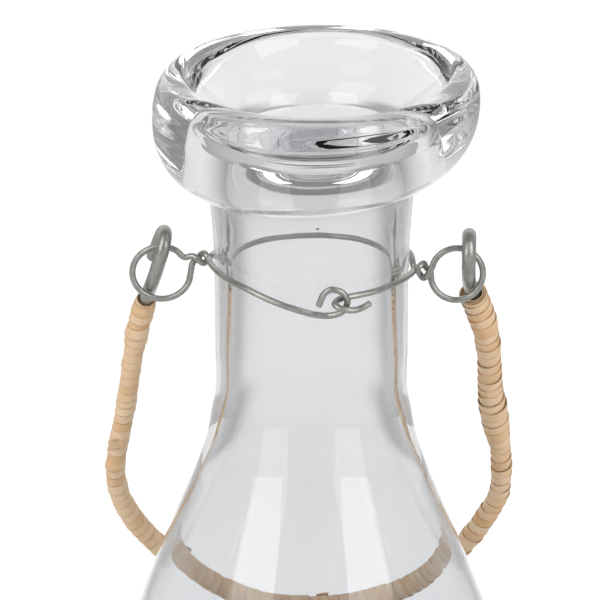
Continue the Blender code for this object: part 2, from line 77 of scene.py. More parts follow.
# Glass bottle: radii and heights of the outside
FOOT_TAPER = 5.0 * MM
HEEL_RADIUS = 24.0 * MM
STANDING_RING_WIDTH = 8.0 * MM
PUSH_UP_HEIGHT = 9.0 * MM
BODY_WIDEST_HEIGHT = 86.0 * MM
NECK_RADIUS = 32.1 * MM
NECK_FLARE = 2.2 * MM
COLLAR_RISE = 45.0 * MM
NECK_FOOT_HEIGHT = COLLAR_HEIGHT - COLLAR_RISE
FOOT_RADIUS = BODY_RADIUS - FOOT_TAPER
STANDING_RING_RADIUS = FOOT_RADIUS - HEEL_RADIUS

# Glass bottle: walls
BASE_WALL = 6.0 * MM
BODY_WALL = 3.0 * MM
SHOULDER_WALL = 2.6 * MM
NECK_WALL = 5.6 * MM

# Lip: a heavy solid ring that leans a little, with its top and underside measured from the collar's level
LIP_RADIUS = 53.4 * MM
LIP_TOP = 66.6 * MM
LIP_DEPTH = 38.0 * MM
LIP_WALL = 10.0 * MM
THROAT_DEPTH = 18.5 * MM
THROAT_BEND = 2.4 * MM
LIP_SIDE_SHIFT = 2.2 * MM
LIP_UNDERSIDE_TILT = math.radians(2.9)
LIP_TOP_TILT = math.radians(0.5)
LIP_UNDERSIDE = LIP_TOP - LIP_DEPTH

# Heel from the standing ring to the foot: angles on its quarter round
HEEL_ANGLES = (0.0, 22.0, 45.0, 68.0, 90.0)
# Side of the body from the foot to its widest: shares of that rise
SIDE_SHARES = (0.33, 0.66)
# Shoulder from the neck down: share of the step outwards, share of the drop
SHOULDER_SHARES = (
    (0.0, 0.0), (0.022, 0.04), (0.057, 0.102), (0.121, 0.168), (0.201, 0.232), (0.283, 0.298),
    (0.384, 0.378), (0.48, 0.46), (0.59, 0.562), (0.722, 0.69), (0.825, 0.785), (0.91, 0.87),
    (0.975, 0.945), (1.0, 1.0),
)
# Neck from its foot to the lip: share of the flare, share of the rise
NECK_SHARES = ((0.00, 0.20), (0.00, 0.50), (0.15, 0.72), (0.60, 0.90))
# Outside of the lip from its root: share of the overhang, share of the lip's depth
LIP_OUTSIDE_SHARES = (
    (0.01, 0.02), (0.12, 0.03), (0.42, 0.092), (0.66, 0.19), (0.84, 0.315), (0.96, 0.47), (1.0, 0.62),
    (0.99, 0.77), (0.915, 0.905), (0.79, 0.978), (0.64, 1.0),
)
# Inside of the mouth from its brim down: share of the flare from throat to mouth, share of its depth
MOUTH_SHARES = (
    (1.04, 0.985), (0.92, 0.9), (0.79, 0.74), (0.62, 0.56), (0.43, 0.37), (0.25, 0.2), (0.1, 0.06),
    (0.015, -0.1),
)
# Under the base and over the inside floor: share of the radius, share of the push-up's height
UNDERSIDE_SHARES = ((0.00, 1.00), (0.55, 0.72), (0.90, 0.20), (1.00, 0.00))
FLOOR_SHARES = ((0.93, 0.55), (0.72, -0.35), (0.40, -0.10), (0.00, 0.00))

# Neck wire: one galvanised wire, twisted into an eye on each side of the neck and hooked to itself in front
COLLAR_GAP = 0.5 * MM
NECK_WIRE_RADIUS = 1.05 * MM
BACK_ARC_BEARINGS = (-100.0, -260.0)
BACK_ARC_DROP = 1.2 * MM
COLLAR_RADIUS = NECK_RADIUS + COLLAR_GAP + NECK_WIRE_RADIUS

# Twists from the collar outwards: share of the length, then lift of their axis and radius round it as
# shares of the wire's radius, with the half turns between
LEFT_TWIST_SHARES = (
    (0.0, 1.33, 0.05, 1.43), (0.16, 1.33, 0.28, 1.52), (0.32, 1.33, 0.5, 1.62),
    (0.5, 1.29, 0.76, 1.48), (0.67, 1.24, 1.0, 1.4), (0.85, 1.14, 1.18, 1.42),
    (1.0, 1.05, 1.32, 1.45),
)
RIGHT_TWIST_SHARES = (
    (0.09, -2.19, 0.06, 1.62), (0.44, -2.57, 0.26, 2.19), (0.76, -2.9, 0.5, 2.48),
    (1.0, -3.33, 0.8, 1.62),
)

# The front strands from their twists to their hooks' tips: bearing from the front in degrees, then height
# and stand-off from the neck as shares of the wire's radius
LEFT_FRONT_SHARES = (
    (-85.0, 2.1, 0.2), (-75.0, 2.1, 0.1), (-64.0, 2.0, 0.0), (-50.0, 1.5, 0.0), (-36.0, 0.65, 0.0),
    (-22.0, -1.35, 0.0), (-9.0, -3.25, 0.0), (2.0, -4.85, 0.0), (9.0, -5.15, 0.5), (13.5, -4.4, 1.6),
    (16.6, -3.15, 2.3), (18.2, -1.5, 2.5), (18.6, 0.2, 2.55), (17.2, 2.0, 2.5), (13.8, 3.6, 2.1),
    (10.0, 3.9, 1.6), (6.8, 2.5, 1.2), (5.0, 0.2, 0.8), (3.8, -1.9, 0.5),
)
RIGHT_FRONT_SHARES = (
    (84.0, -1.6, 0.1), (75.0, -0.8, 0.0), (65.0, -0.1, 0.0), (52.0, 0.3, 0.0), (38.0, 0.2, 0.0),
    (27.0, 0.3, 0.0), (21.0, 0.2, 0.0), (16.8, 0.0, 0.1), (13.6, -0.3, 0.9), (12.0, -0.7, 2.4),
    (13.4, -1.3, 4.0), (17.0, -1.9, 4.95), (21.5, -2.3, 4.9), (26.0, -2.2, 4.2), (30.5, -1.5, 3.6),
)

# Handle: a stiff wire with a crook at each end that hangs on the eye's upper side
HANDLE_WIRE_RADIUS = 2.3 * MM
HINGE_RISE = HINGE_HEIGHT - COLLAR_HEIGHT
HANDLE_DROP = 181.5 * MM
HANDLE_HALF_WIDTH = 68.0 * MM
HANDLE_REST = math.radians(24.46)
CROOK_SLACK = 2.0 * MM
CROOK_ANGLES = (0.0, 30.0, 60.0, 90.0, 120.0, 150.0, 180.0)
# The bail from under the left crook round to the right one: share of the half width, share of the drop
BAIL_SHARES = (
    (-0.814, 0.132), (-0.858, 0.209), (-0.889, 0.287), (-0.918, 0.375), (-0.951, 0.463),
    (-0.985, 0.54), (-1.0, 0.606), (-0.982, 0.672), (-0.924, 0.738), (-0.815, 0.81), (-0.684, 0.871),
    (-0.537, 0.926), (-0.382, 0.967), (-0.191, 0.992), (0.0, 1.0), (0.176, 0.994), (0.338, 0.975),
    (0.485, 0.948), (0.618, 0.909), (0.735, 0.854), (0.824, 0.799), (0.896, 0.738), (0.959, 0.672),
    (0.969, 0.606), (0.959, 0.54), (0.928, 0.463), (0.897, 0.375), (0.883, 0.287), (0.86, 0.209),
    (0.795, 0.118),
)

# What differs between left and right. An eye has a stem from its twist, half its width and height, how far
# its ends part to the front and back, the height of the crook's seat over the hinge, and the degrees at
# which its lower and upper ends leave for the twist. A shank runs from its crook down to the wrap: share of
# the way, of the crook's offset, of the step outwards.
SIDES = {
    "side": (-1, 1),
    "twist_length": (5.2 * MM, 4.3 * MM),
    "twist_shares": (LEFT_TWIST_SHARES, RIGHT_TWIST_SHARES),
    "eye_stem": (1.1 * MM, 1.25 * MM),
    "eye_half_width": (9.6 * MM, 8.7 * MM),
    "eye_half_height": (9.3 * MM, 9.3 * MM),
    "eye_spread": (0.5 * MM, 1.3 * MM),
    "eye_seat": (1.5 * MM, 0.0),
    "eye_ends": ((-2.0, 38.0), (2.0, 14.0)),
    "crook_inset": (-0.65 * MM, -4.0 * MM),
    "crook_rise": (4.9 * MM, 2.9 * MM),
    "crook_tip": (9.0 * MM, 7.7 * MM),
    "crook_yaw": (0.0, 2.0),
    "crook_roll": (16.0, 0.0),
    "shank_shares": (
        ((0.22, 0.97, 0.24), (0.48, 0.72, 0.52), (0.74, 0.32, 0.77)),
        ((0.22, 0.97, 0.04), (0.48, 0.72, 0.18), (0.74, 0.32, 0.48)),
    ),
}
LEFT, RIGHT = (SimpleNamespace(**dict(zip(SIDES, values))) for values in zip(*SIDES.values()))

# Bamboo wrap: strips wound on the handle wire, one after the other
WRAP_STRIPS = 6
WRAP_PITCH = 3.9 * MM
STRIP_LAP_TURNS = 0.35
TUCK_TURNS = 3.5
WRAP_UNDERLAY = 0.55 * MM
LAST_STRIP_CUT_TURNS = 0.6
TUCK_START_TURNS = -0.3
# A strip's section: points across it, crown over its middle, lap over the last turn in thicknesses
STRIP_COLUMNS = 7
STRIP_CROWN = 0.10 * MM
STRIP_LAP = 1.12
STRIP_SHARP_ANGLE = math.radians(50.0)
# Unevenness of the winding: turns between two random values, and their size
RADIUS_WANDER = (0.9, 0.22 * MM)
SLIDE_WANDER = (1.3, 0.6 * MM)
WIDTH_WANDER = (2.0, 0.14)
# Millimetres by which each strip's start and end stand off, and the part of a turn over which they lift
STRIP_LIFTS = ((0.0, 2.4), (0.0, 1.2), (0.0, 1.0), (0.8, 0.9), (0.0, 1.3), (0.0, 0.0))
LIFT_TURNS = 0.14
LIFT_POWER = 1.6
# Random seeds, and metres between the places in the grain that two strips start from
NECK_WIRE_SEED = 3
HANDLE_WIRE_SEED = 11
STRIP_SEED = 40
STRIP_SEED_STEP = 7
GRAIN_STEP = 0.7

# Places along the wrapped length, as shares of it from the left end, and how much thicker the wrap is there
WRAP_THICKNESS_SHARES = (
    (0.0, 0.3), (0.024, -0.1), (0.037, 0.5), (0.052, -0.2), (0.2, -0.3), (0.3, 0.1), (0.42, 0.0),
    (0.62, 0.0), (0.76, -0.1), (0.8, -0.05), (0.825, 0.85), (0.855, 1.35), (0.872, 0.55),
    (0.905, 0.25), (0.93, 0.6), (0.96, 0.85), (1.0, 1.0),
)

# Waves that blowing leaves: turns round the bottle, phase, climb up the lip, share of the height
BLOWN_WAVES = ((3, 0.6, 1.0, 0.7), (5, 2.1, -1.6, 0.4), (8, 4.0, 2.7, 0.25), (13, 1.1, 4.1, 0.12))

# Cut ends of a wire: length of the rounding and size at the cut, as shares of the radius
CUT_LENGTH = 0.45
CUT_SIZE = 0.72

# How finely the surfaces are cut
BOTTLE_COLUMNS = 176
PROFILE_STEPS = 6
THROAT_ROWS = 16
CREASE_SHARE = 0.2
LINE_STEPS = 10
NECK_WIRE_COLUMNS = 20
HANDLE_WIRE_COLUMNS = 28
EYE_POINTS = 17
BACK_ARC_POINTS = 13
STATIONS_A_TURN = 26

# Photograph's view: the collar's axis lies at this pixel of its 600 pixels
VIEW_PIXELS = 600
COLLAR_PIXEL_X = 311.5
COLLAR_PIXEL_Y = 262.0
PIXELS_A_METRE = 3030.0
SENSOR_WIDTH = 36.0
# Brightness of the room in front and high up, as glass and metal mirror it, and where it turns white: how
# far a ray looks to the back, and how little it looks up
ROOM_SHADE = 0.30
ROOM_BEHIND = (0.05, 0.95)
ROOM_LOW = (1.30, 0.60)
# Glow that brings the floor up to white: before the camera, and behind the bottle where glass shows it
FLOOR_GLOW = 0.42
FIELD_GLOW = 0.36
# That field behind the bottle: how far to the side it ends and is full, how far back it starts and is full
FIELD_SIDES = (0.30, 0.12)
FIELD_BACK = (-0.05, 0.25)
WHITE = (1.0, 1.0, 1.0)
# White of the floor, and its grey where glass shows it beside the field
FLOOR_WHITE = 0.8
FLOOR_SHADE = 0.66
FLOOR_REACH = 4.0
FLOOR_COLUMNS = 64
FLOOR_RINGS = 8
# The two soft windows, one on each side of the camera
WINDOW_AZIMUTH = math.radians(46.0)
WINDOW_ELEVATION = math.radians(28.0)
WINDOW_DISTANCE = 1.6
WINDOW_WIDTH = 1.0
WINDOW_HEIGHT = 1.7
# Shares of the set colours: glass in patches and in the thicker lip, zinc, painted shade in the strips'
# seams
PATCH_TINT = 0.975
LIP_TINT = 0.93
WIRE_LIGHT = 1.18
WIRE_DARK = 0.80
SEAM_PAINTED_SHADE = 0.42
# How strong the painted shade along a strip's edges is at least
LEAST_SEAM_SHADE = 0.15
# Light is mirrored many times inside the heavy lip before it leaves it
GLASS_BOUNCES = 32


def colour_setting(name, description, default):
    """A colour."""
    return bpy.props.FloatVectorProperty(
        name=name, description=description, subtype="COLOR", size=3, min=0.0, max=1.0, default=default
    )


def length_setting(name, description, default, least=0.0):
    """A length, not below the least."""
    kind = {"subtype": "DISTANCE", "unit": "LENGTH", "min": least}
    return bpy.props.FloatProperty(name=name, description=description, default=default, **kind)


def plain_setting(name, description, default, **more):
    """A number from 0 up."""
    return bpy.props.FloatProperty(name=name, description=description, default=default, min=0.0, **more)


class GlassSettings(bpy.types.PropertyGroup):
    """Sizes and colours of the blown glass."""

    colour: colour_setting(
        "Glass colour", "Colour that light takes on at each surface of the glass", (0.865, 0.872, 0.882)
    )
    waviness: length_setting("Waviness", "Height of the waves that blowing leaves in the lip", 0.06 * MM)
    seeds: plain_setting("Seeds", "Strength of the small bubbles and specks", 0.35, max=1.0)


class WireSettings(bpy.types.PropertyGroup):
    """Finish of the two galvanised wires."""

    colour: colour_setting("Wire colour", "Mid grey of the dull zinc", (0.42, 0.425, 0.395))
    unevenness: length_setting("Unevenness", "How far the zinc swells and thins round the wire", 0.04 * MM)


class WrapSettings(bpy.types.PropertyGroup):
    """Sizes and colours of the bamboo strips."""

    strip_width: length_setting("Strip width", "Strips wider than the pitch overlap", 4.7 * MM, 1.0 * MM)
    strip_thickness: length_setting("Strip thickness", "Thickness of a split strip", 0.42 * MM, 0.1 * MM)
    pale: colour_setting("Pale bamboo", "Lighter colour of the strips", (0.80, 0.605, 0.41))
    tan: colour_setting("Tan bamboo", "Darker colour of the strips", (0.66, 0.38, 0.17))


class StageSettings(bpy.types.PropertyGroup):
    """Camera, lamps and background."""

    elevation: bpy.props.FloatProperty(
        name="Camera elevation",
        description="How far above the horizon the camera stands",
        subtype="ANGLE",
        unit="ROTATION",
        default=math.radians(21.5),
    )
    distance: length_setting("Camera distance", "From the camera to the collar", 1.5, 0.1)
    window: plain_setting("Window brightness", "Brightness of the windows beside the camera", 2.1)
    fill: plain_setting("Fill brightness", "Even light from all round on dull surfaces", 0.66)


def smooth_line(points, steps):
    """A smooth curve through the points, each stretch cut into the same number of steps.

    Each stretch is a cubic. Its direction at a point is the mean of the directions to the two
    neighbours, in which the nearer neighbour counts more, so uneven points make no loops.
    """
    points = np.array(points, float)
    chords = np.diff(points, axis=0)
    lengths = np.linalg.norm(chords, axis=1)[:, None]
    ways = chords / lengths
    inner = (ways[:-1] * lengths[1:] + ways[1:] * lengths[:-1]) / (lengths[1:] + lengths[:-1])
    slopes = np.vstack([ways[:1], inner, ways[-1:]])[:, None]
    t = np.linspace(0, 1, steps, endpoint=False)[None, :, None]
    start, end = points[:-1, None], points[1:, None]
    line = start + (end - start) * t * t * (3 - 2 * t)
    line = line + lengths[:, None] * t * (1 - t) * (slopes[:-1] * (1 - t) - slopes[1:] * t)
    return np.vstack([line.reshape(-1, points.shape[1]), points[-1:]])


def distances_along(points):
    """Distance from the line's start to each of its points."""
    steps = np.linalg.norm(np.diff(points, axis=0), axis=1)
    return np.concatenate([[0.0], np.cumsum(steps)])


def points_at(points, wanted):
    """Points of the line at the wanted distances along it."""
    along = distances_along(points)
    return np.stack([np.interp(wanted, along, column) for column in points.T], -1)


def unit(vectors):
    """The vectors, each divided by its length."""
    return vectors / np.linalg.norm(vectors, axis=-1, keepdims=True)


def fade(value, start, end):
    """0 before start, 1 after end, and a smooth S between them."""
    share = np.clip((value - start) / (end - start), 0, 1)
    return share * share * (3 - 2 * share)


def turned(points, angle, height):
    """The points turned about the X axis by the angle, then lifted by the height."""
    x, y, z = points[..., 0], points[..., 1], points[..., 2]
    back = y * math.cos(angle) - z * math.sin(angle)
    up = y * math.sin(angle) + z * math.cos(angle) + height
    return np.stack([x, back, up], -1)


def wander(at, seed, spacing, size):
    """A smooth random wander: draws one value for each spacing along the way and fades between them."""
    place = at / spacing
    count = int(place.max()) + 3
    draws = np.random.default_rng(seed).uniform(-size, size, count)
    low = np.floor(place).astype(int)
    share = fade(place - low, 0, 1)
    return draws[low] * (1 - share) + draws[low + 1] * share


def tube_faces(rows, columns):
    """Corner numbers of the quads of a grid whose columns close on themselves."""
    row = np.arange(rows - 1)[:, None] * columns
    one = np.arange(columns)[None, :]
    following = (one + 1) % columns
    faces = np.stack([row + one, row + following, row + columns + following, row + columns + one], -1)
    return faces.reshape(-1, 4)


def cap_faces(ring_start, columns, centre, outwards):
    """Triangles from a ring to its centre point; outwards keeps the ring's own order."""
    one = ring_start + np.arange(columns)
    following = ring_start + (np.arange(columns) + 1) % columns
    order = [one, following] if outwards else [following, one]
    return np.stack([*order, np.full(columns, centre)], -1)


def tube_mesh(name, rings, first_centre, last_centre, along=None, across=None):
    """A mesh of the rings, closed at both ends by a fan to a centre point.

    rings is a grid of points, one row for each ring. along and across, one value for each row and one
    for each column and its closing copy, become the piece's own UV map, in metres.
    """
    rows, columns = rings.shape[:2]
    points = np.vstack([rings.reshape(-1, 3), [first_centre], [last_centre]])
    quads = tube_faces(rows, columns)
    first = cap_faces(0, columns, rows * columns, False)
    last = cap_faces((rows - 1) * columns, columns, rows * columns + 1, True)
    faces = quads.tolist() + first.tolist() + last.tolist()
    mesh = bpy.data.meshes.new(name)
    mesh.from_pydata(points.tolist(), [], faces)
    if along is not None:
        u0 = np.repeat(along[:-1, None], columns, 1)
        u1 = np.repeat(along[1:, None], columns, 1)
        v0 = np.repeat(across[None, :-1], rows - 1, 0)
        v1 = np.repeat(across[None, 1:], rows - 1, 0)
        corners = np.stack([u0, v0, u0, v1, u1, v1, u1, v0], -1).reshape(-1)
        first_uv = np.tile([along[0], across[0]], 3 * columns)
        last_uv = np.tile([along[-1], across[0]], 3 * columns)
        layer = mesh.uv_layers.new(name="run")
        layer.data.foreach_set("uv", np.concatenate([corners, first_uv, last_uv]))
    mesh.update()
    mesh.shade_smooth()
    return mesh


def add_object(name, data):
    """A new object of the data in the scene."""
    thing = bpy.data.objects.new(name, data)
    bpy.context.scene.collection.objects.link(thing)
    return thing


def new_piece(name, mesh, material, body, slot, *nodes):
    """An object of the mesh at the origin, which rides on its body and stands for the nodes."""
    piece = add_object(name, mesh)
    mesh.materials.append(material)
    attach(piece, body)
    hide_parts(*nodes)


def carried_frames(line):
    """Two directions square to the line at each of its points, carried along it without twist."""
    forward = unit(np.gradient(line, axis=0))
    side = np.cross(forward[0], (0.0, 0.0, 1.0))
    if np.linalg.norm(side) < 0.1:
        side = np.cross(forward[0], (0.0, 1.0, 0.0))
    sides = [side / np.linalg.norm(side)]
    for way in forward[1:]:
        next_side = sides[-1] - way * np.dot(sides[-1], way)
        sides.append(next_side / np.linalg.norm(next_side))
    across = np.array(sides)
    return across, np.cross(forward, across)


def wire_mesh(name, line, radius, columns, unevenness, seed):
    """A round wire along the line: rings of the radius, a little uneven, with rounded cut ends.

    Each ring is centre + radius (cos a across + sin a beside). Near both ends the radius falls off by a
    quarter circle over a short chamfer.
    """
    across, beside = carried_frames(line)
    along = distances_along(line)
    chamfer = radius * CUT_LENGTH
    end = np.minimum(along, along[-1] - along)
    shrink = np.sqrt(np.clip(1 - (1 - np.clip(end / chamfer, 0, 1)) ** 2, 0, 1))
    size = radius * (CUT_SIZE + (1 - CUT_SIZE) * shrink)
    angle = np.linspace(0, 2 * math.pi, columns, endpoint=False)
    swell = wander(along, seed, 6 * radius, unevenness)[:, None] * np.cos(angle)
    swell = swell + wander(along, seed + 1, 4 * radius, unevenness)[:, None] * np.sin(angle)
    out = across[:, None] * np.cos(angle)[:, None] + beside[:, None] * np.sin(angle)[:, None]
    rings = line[:, None] + out * (size[:, None] + swell)[..., None]
    around = np.linspace(0, 2 * math.pi * radius, columns + 1)
    return tube_mesh(name, rings, line[0], line[-1], along, around)


def body_outside():
    """Radius and height of the outside from the standing ring up to the lip's root."""
    heel = [
        (STANDING_RING_RADIUS + HEEL_RADIUS * math.sin(angle), HEEL_RADIUS * (1 - math.cos(angle)))
        for angle in np.radians(HEEL_ANGLES)
    ]
    side_rise = BODY_WIDEST_HEIGHT - HEEL_RADIUS
    side = [
        (FOOT_RADIUS + FOOT_TAPER * math.sin(share * math.pi / 2), HEEL_RADIUS + side_rise * share)
        for share in SIDE_SHARES
    ]
    step = BODY_RADIUS - NECK_RADIUS
    drop = NECK_FOOT_HEIGHT - BODY_WIDEST_HEIGHT
    shoulder = [
        (NECK_RADIUS + step * out, NECK_FOOT_HEIGHT - drop * down) for out, down in reversed(SHOULDER_SHARES)
    ]
    neck_rise = COLLAR_HEIGHT + LIP_UNDERSIDE - NECK_FOOT_HEIGHT
    neck = [(NECK_RADIUS + NECK_FLARE * out, NECK_FOOT_HEIGHT + neck_rise * up) for out, up in NECK_SHARES]
    return np.array(heel + side + shoulder + neck)


def lip_outside():
    """Radius and height of the lip's outside from its root over its top."""
    root_radius = NECK_RADIUS + NECK_FLARE
    overhang = LIP_RADIUS - root_radius
    root_height = COLLAR_HEIGHT + LIP_UNDERSIDE
    return [(root_radius + overhang * out, root_height + LIP_DEPTH * up) for out, up in LIP_OUTSIDE_SHARES]


def wall_at(height):
    """Thickness of the glass: thin at the shoulder, thicker up the neck and down the body."""
    towards_neck = fade(height, NECK_FOOT_HEIGHT - NECK_RADIUS, NECK_FOOT_HEIGHT)
    towards_base = 1 - fade(height, BODY_WIDEST_HEIGHT, BODY_WIDEST_HEIGHT + BODY_RADIUS)
    thickening = (NECK_WALL - SHOULDER_WALL) * towards_neck + (BODY_WALL - SHOULDER_WALL) * towards_base
    return SHOULDER_WALL + thickening


def bottle_profile():
    """The whole section, finely cut: under the base, up the outside, over the lip and down the inside.

    The outside is two smooth curves that meet in a crease under the lip. The inside is the outside moved
    inwards, square to it, by the wall's thickness.
    """
    ring_inner = STANDING_RING_RADIUS - STANDING_RING_WIDTH
    underside = [(ring_inner * out, PUSH_UP_HEIGHT * up) for out, up in UNDERSIDE_SHARES]
    throat_height = COLLAR_HEIGHT + LIP_TOP - THROAT_DEPTH
    throat_radius = NECK_RADIUS - NECK_WALL
    flare = LIP_RADIUS - LIP_WALL - throat_radius
    mouth = [(throat_radius + flare * out, throat_height + THROAT_DEPTH * up) for out, up in MOUTH_SHARES]
    side = np.vstack([body_outside(), lip_outside()[:1]])
    low = smooth_line(np.vstack([underside, side]), PROFILE_STEPS)
    lip = smooth_line(np.vstack([lip_outside(), mouth]), PROFILE_STEPS)
    crease = low[-1] + (low[-2] - low[-1]) * CREASE_SHARE
    outer = np.vstack([low[:-1], crease, lip])

    outside = smooth_line(side, PROFILE_STEPS)
    slope = np.gradient(outside, axis=0)
    inwards = unit(np.stack([-slope[:, 1], slope[:, 0]], -1))
    inside = outside + inwards * wall_at(outside[:, 1])[:, None]
    floor_height = PUSH_UP_HEIGHT + BASE_WALL
    wall_top = COLLAR_HEIGHT + LIP_UNDERSIDE - THROAT_BEND
    kept = (inside[:, 1] > floor_height + PUSH_UP_HEIGHT / 2) & (inside[:, 1] < wall_top)
    inside = inside[kept][::-1]
    straight = np.linspace(outer[-1], inside[0], THROAT_ROWS, endpoint=False)[1:]
    inside = np.vstack([straight, inside])
    floor = [inside[-1]]
    floor += [(inside[-1, 0] * out, floor_height + PUSH_UP_HEIGHT * up) for out, up in FLOOR_SHARES]
    return np.vstack([outer, inside[:-1], smooth_line(floor, PROFILE_STEPS)])


def lean_of_lip(radius, height, turn):
    """Sideways shift and lift that make the lip lean; nothing at the collar or below it moves."""
    above = height - COLLAR_HEIGHT
    up_lip = np.clip((above - LIP_UNDERSIDE) / LIP_DEPTH, 0, 1)
    tilt = LIP_UNDERSIDE_TILT + (LIP_TOP_TILT - LIP_UNDERSIDE_TILT) * up_lip
    lift = fade(above, LIP_UNDERSIDE / 2, LIP_UNDERSIDE) * np.tan(tilt) * radius * np.cos(turn)
    return LIP_SIDE_SHIFT * up_lip, lift


def blown_waves(height, turn, size):
    """Slow waves that blowing leaves: sums of sines round the bottle, strongest inside the lip.

    Each wave is size times the sine of a whole number of turns plus a slope up the bottle.
    """
    above = (height - COLLAR_HEIGHT) / LIP_DEPTH
    total = 0.0
    for turns, phase, climb, share in BLOWN_WAVES:
        total = total + share * np.sin(turns * turn + phase + climb * above)
    return size * total


def bottle_mesh(settings):
    """The section turned round the bottle's axis, with the lip's lean and the blown waves."""
    profile = bottle_profile()
    angle = np.linspace(0, 2 * math.pi, BOTTLE_COLUMNS, endpoint=False)
    radius = np.minimum(profile[1:-1, 0, None], BODY_RADIUS)
    height = profile[1:-1, 1, None]
    shift, lift = lean_of_lip(radius, height, angle)
    order = np.arange(len(profile) - 2)[:, None]
    brim = int(np.argmax(profile[1:-1, 1]))
    inside_lip = fade(height, COLLAR_HEIGHT, COLLAR_HEIGHT + LIP_UNDERSIDE) * (order > brim)
    radius = radius - inside_lip * (0.5 + 0.5 * blown_waves(height, angle, 1.0)) * settings.waviness
    x = radius * np.cos(angle) + shift
    y = radius * np.sin(angle)
    z = np.clip(height + lift, 0.0, LIP_TOP_HEIGHT)
    rings = np.stack([x, y, z], -1)
    return tube_mesh("glass_bottle_blown", rings, (0.0, 0.0, profile[0, 1]), (0.0, 0.0, profile[-1, 1]))


def beside_neck(bearing, height, stand_off):
    """A point of the collar: bearing in degrees from front to right, stand-off past its close fit."""
    turn = math.radians(bearing)
    radius = COLLAR_RADIUS + stand_off
    return (radius * math.sin(turn), -radius * math.cos(turn), height)


def front_strand(table):
    """The strand from its twist to its hook's tip."""
    size = NECK_WIRE_RADIUS
    return np.array([beside_neck(bearing, up * size, off * size) for bearing, up, off in table])


def twist_strands(half):
    """Both strands of a twist, from the collar outwards, as they turn round its axis half a turn apart.

    The front strand goes over the top to the back, and the back strand underneath to the front.
    """
    out, lift, half_turns, radius = np.array(half.twist_shares).T
    line_x = half.side * (COLLAR_RADIUS + half.twist_length * out)
    across = -NECK_WIRE_RADIUS * radius * np.cos(math.pi * half_turns)
    up = NECK_WIRE_RADIUS * radius * np.sin(math.pi * half_turns)
    front = np.stack([line_x, across, NECK_WIRE_RADIUS * lift + up], -1)
    back = np.stack([line_x, -across, NECK_WIRE_RADIUS * lift - up], -1)
    return front, back


def eye_out(half):
    """Distance from the neck's axis to the eye's centre."""
    return COLLAR_RADIUS + half.twist_length + half.eye_stem + half.eye_half_width


def wire_loop(half):
    """The front strand outwards, round the eye from its lower to its upper end, and the back strand inwards.

    The eye is an ellipse in the plane of the neck's axis, set so that the crook's seat on it lies at the
    hinge. Its ends part to the front and the back, as the cube of the way from the ring's middle.
    """
    front, back = twist_strands(half)
    seat_share = math.sqrt(1 - (half.crook_inset / half.eye_half_width) ** 2)
    rise = HINGE_RISE + half.eye_seat - half.eye_half_height * seat_share
    lower, upper = map(math.radians, half.eye_ends)
    angle = np.linspace(lower, upper - 2 * math.pi, EYE_POINTS)
    share = np.linspace(-1, 1, EYE_POINTS)
    ring_x = half.side * (eye_out(half) - half.eye_half_width * np.cos(angle))
    ring = np.stack([ring_x, -half.eye_spread * share**3, rise + half.eye_half_height * np.sin(angle)], -1)
    return np.vstack([front, ring, back[::-1]])


def neck_wire_line():
    """The collar's wire from the left strand's hook round the neck to the right strand's hook."""
    back_arc = [
        beside_neck(bearing, BACK_ARC_DROP * math.cos(math.radians(bearing)), 0)
        for bearing in np.linspace(*BACK_ARC_BEARINGS, BACK_ARC_POINTS)
    ]
    left_front = front_strand(LEFT_FRONT_SHARES)[::-1]
    right_front = front_strand(RIGHT_FRONT_SHARES)
    route = np.vstack([left_front, wire_loop(LEFT), back_arc, wire_loop(RIGHT)[::-1], right_front])
    return smooth_line(route, LINE_STEPS) + (0.0, 0.0, COLLAR_HEIGHT)


def crook_line(half, end):
    """A crook from its free tip over its top and down its shank to the bail's end, hanging straight down.

    The crook lies across its hinge: its top is half an ellipse round the hinge's line. Its yaw turns it
    a little outwards and its roll leans it, so that its shank runs straight into the bail.
    """
    offset = NECK_WIRE_RADIUS + CROOK_SLACK + HANDLE_WIRE_RADIUS
    top = half.crook_rise + HANDLE_WIRE_RADIUS
    outline = [(offset, -half.crook_tip), (offset, -half.crook_tip / 2)]
    outline += [(offset * math.cos(angle), top * math.sin(angle)) for angle in np.radians(CROOK_ANGLES)]
    turn_out = math.tan(math.radians(half.crook_yaw))
    lean = math.tan(math.radians(half.crook_roll))
    middle = eye_out(half) - half.crook_inset
    points = [(half.side * (middle + across * turn_out - up * lean), across, up) for across, up in outline]
    start = points[-1]
    for down, across, out in half.shank_shares:
        points.append((start[0] + (end[0] - start[0]) * out, start[1] * across, end[2] * down))
    return points


def handle_line():
    """The handle wire, hinge line on X and bail hanging down -Z, and the lengths of its two bare ends."""
    bail = [(out * HANDLE_HALF_WIDTH, 0.0, -down * HANDLE_DROP) for out, down in BAIL_SHARES]
    left = crook_line(LEFT, bail[0])
    right = crook_line(RIGHT, bail[-1])
    line = smooth_line(left + bail + right[::-1], LINE_STEPS)
    along = distances_along(line)
    return line, along[len(left) * LINE_STEPS], along[-1] - along[-1 - len(right) * LINE_STEPS]


